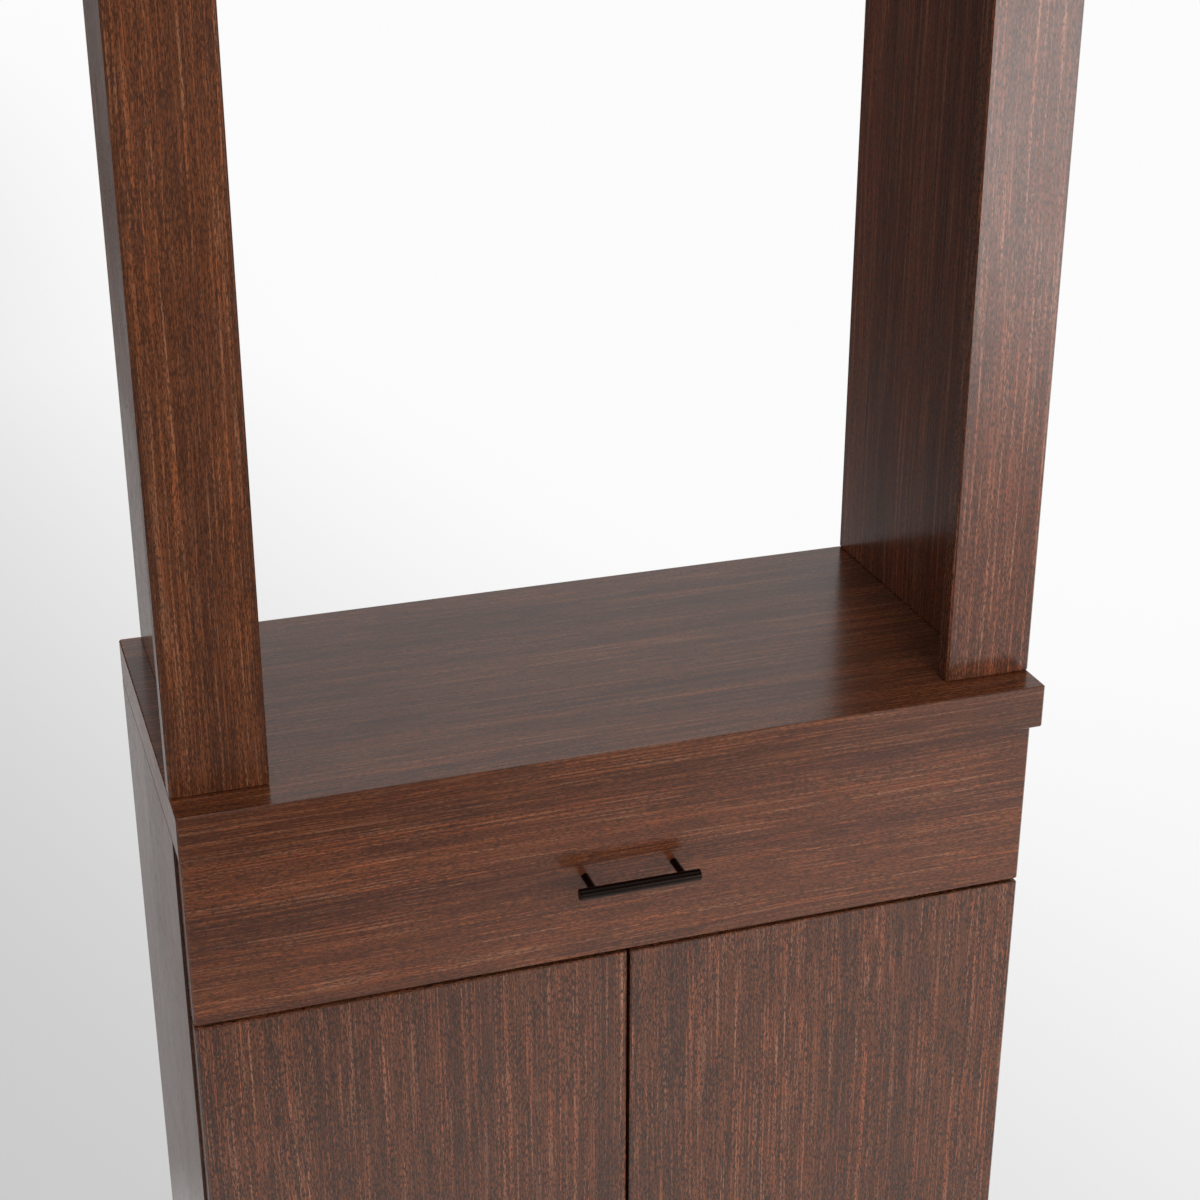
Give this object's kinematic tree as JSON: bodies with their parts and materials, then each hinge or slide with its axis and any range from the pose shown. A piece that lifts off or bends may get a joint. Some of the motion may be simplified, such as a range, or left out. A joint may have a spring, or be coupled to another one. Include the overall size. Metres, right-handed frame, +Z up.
{
  "type": "wine cabinet",
  "caption": "Tall dark-wood wine cabinet: a base with a drawer and push-to-open doors, a counter, and an open serving bay between uprights under a top panel.",
  "frame": {"origin": "on the floor, at the centre of the cabinet's outline seen from above, the pull included", "axes": "+X to the right as seen from the front, +Y from the front to the back, +Z up; the drawer and doors face -Y"},
  "size_m": [0.721, 0.3518, 1.8288],
  "materials": {
    "veneer_upright": "dark brown veneer, grain upright, semi-gloss lacquer",
    "veneer_level": "dark brown veneer, grain from side to side, semi-gloss lacquer",
    "box_wood": "pale solid wood, satin lacquer",
    "dark_bronze": "oil-rubbed dark bronze, satin",
    "nickel_steel": "nickel plated, bright satin",
    "zinc_steel": "bright zinc plated, lightly brushed",
    "grey_plastic": "moulded grey plastic"
  },
  "bodies": {
    "cabinet": {"side_left": "veneer_upright", "side_right": "veneer_upright", "bottom_panel": "veneer_level", "back_panel": "veneer_upright", "top_rail_front": "veneer_level", "top_rail_rear": "veneer_level", "divider_rail": "veneer_level", "toe_kick": "veneer_level", "shelf": "veneer_level", "shelf_pin_front_left": "nickel_steel", "shelf_pin_front_right": "nickel_steel", "shelf_pin_rear_left": "nickel_steel", "shelf_pin_rear_right": "nickel_steel", "countertop": "veneer_level", "stile_left": "veneer_upright", "stile_right": "veneer_upright", "upright_panel_left": "veneer_upright", "upright_panel_right": "veneer_upright", "header_rail_front": "veneer_level", "header_rail_rear": "veneer_level", "top_panel": "veneer_level", "slide_outer_left": "zinc_steel", "slide_outer_right": "zinc_steel", "hinge_arm_upper_left": "nickel_steel", "hinge_arm_upper_right": "nickel_steel", "hinge_arm_lower_left": "nickel_steel", "hinge_arm_lower_right": "nickel_steel", "latch_body_left": "grey_plastic", "latch_body_right": "grey_plastic"},
    "drawer": {"drawer_front": "veneer_level", "drawer_box_front": "box_wood", "drawer_box_back": "box_wood", "drawer_box_side_left": "box_wood", "drawer_box_side_right": "box_wood", "drawer_bottom": "box_wood", "pull_bar": "dark_bronze", "pull_post_left": "dark_bronze", "pull_post_right": "dark_bronze", "pull_screw_left": "nickel_steel", "pull_screw_right": "nickel_steel", "slide_inner_left": "zinc_steel", "slide_inner_right": "zinc_steel"},
    "slide_middle_left": {"slide_middle_left": "zinc_steel"},
    "slide_middle_right": {"slide_middle_right": "zinc_steel"},
    "door_left": {"door_left": "veneer_upright", "hinge_cup_upper_left": "nickel_steel", "hinge_cup_lower_left": "nickel_steel", "strike_plate_left": "zinc_steel"},
    "door_right": {"door_right": "veneer_upright", "hinge_cup_upper_right": "nickel_steel", "hinge_cup_lower_right": "nickel_steel", "strike_plate_right": "zinc_steel"},
    "latch_plunger_left": {"latch_plunger_left": "grey_plastic"},
    "latch_plunger_right": {"latch_plunger_right": "grey_plastic"}
  },
  "joints": [
    {"name": "drawer_slide", "type": "slide", "parent": "cabinet", "child": "drawer", "axis": [0, -1, 0], "range_m": [0, 0.25]},
    {"name": "slide_middle_left_travel", "type": "slide", "parent": "cabinet", "child": "slide_middle_left", "axis": [0, -1, 0], "range_m": [0, 0.125]},
    {"name": "slide_middle_right_travel", "type": "slide", "parent": "cabinet", "child": "slide_middle_right", "axis": [0, -1, 0], "range_m": [0, 0.125]},
    {"name": "door_left_swing", "type": "hinge", "parent": "cabinet", "child": "door_left", "pos_m": [-0.3509, -0.13512, 0.41], "axis": [0, 0, -1], "range_deg": [0, 105]},
    {"name": "door_right_swing", "type": "hinge", "parent": "cabinet", "child": "door_right", "pos_m": [0.3509, -0.13512, 0.41], "axis": [0, 0, 1], "range_deg": [0, 105]},
    {"name": "latch_left_push", "type": "slide", "parent": "cabinet", "child": "latch_plunger_left", "axis": [0, 1, 0], "range_m": [0, 0.002], "stiffness_N_per_m": 300},
    {"name": "latch_right_push", "type": "slide", "parent": "cabinet", "child": "latch_plunger_right", "axis": [0, 1, 0], "range_m": [0, 0.002], "stiffness_N_per_m": 300}
  ],
  "couplings": [
    {"joint": "slide_middle_left_travel", "follows": "drawer_slide", "ratio": 0.5},
    {"joint": "slide_middle_right_travel", "follows": "drawer_slide", "ratio": 0.5}
  ]
}
